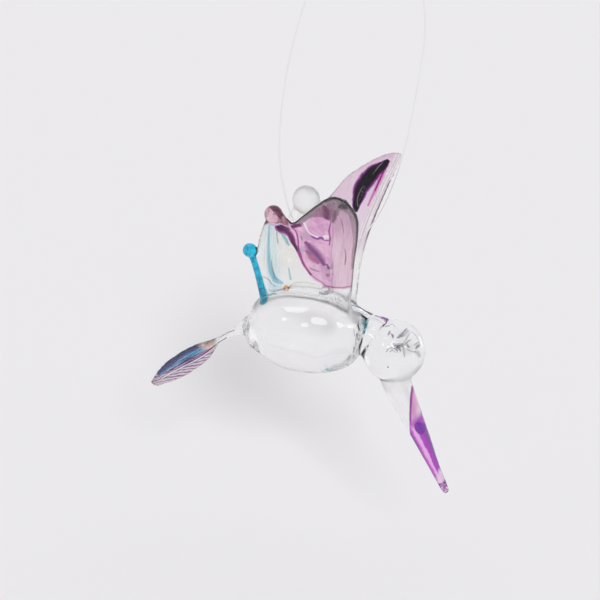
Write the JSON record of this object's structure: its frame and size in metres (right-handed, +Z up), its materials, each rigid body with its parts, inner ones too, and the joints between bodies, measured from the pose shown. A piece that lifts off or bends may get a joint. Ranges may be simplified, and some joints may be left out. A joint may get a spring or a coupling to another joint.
{
  "type": "blown glass hummingbird ornament",
  "caption": "Clear glass hummingbird with tinted wings, beak and tail, hung by a loop of clear thread from the ring on its back.",
  "frame": {"origin": "the hook point: the top of the thread loop, on its inside, where a hook or twig carries it", "axes": "+Z up, +X the way the bird faces, +Y to the bird's left, so the bird hangs below the origin"},
  "size_m": [0.1072, 0.0809, 0.1827],
  "materials": {
    "clear_glass": "fire polished",
    "nylon_thread": "smooth clear monofilament"
  },
  "bodies": {
    "root": {"glass_bird": "clear_glass", "thread_knot": "nylon_thread", "thread_loop": "nylon_thread"}
  },
  "joints": []
}
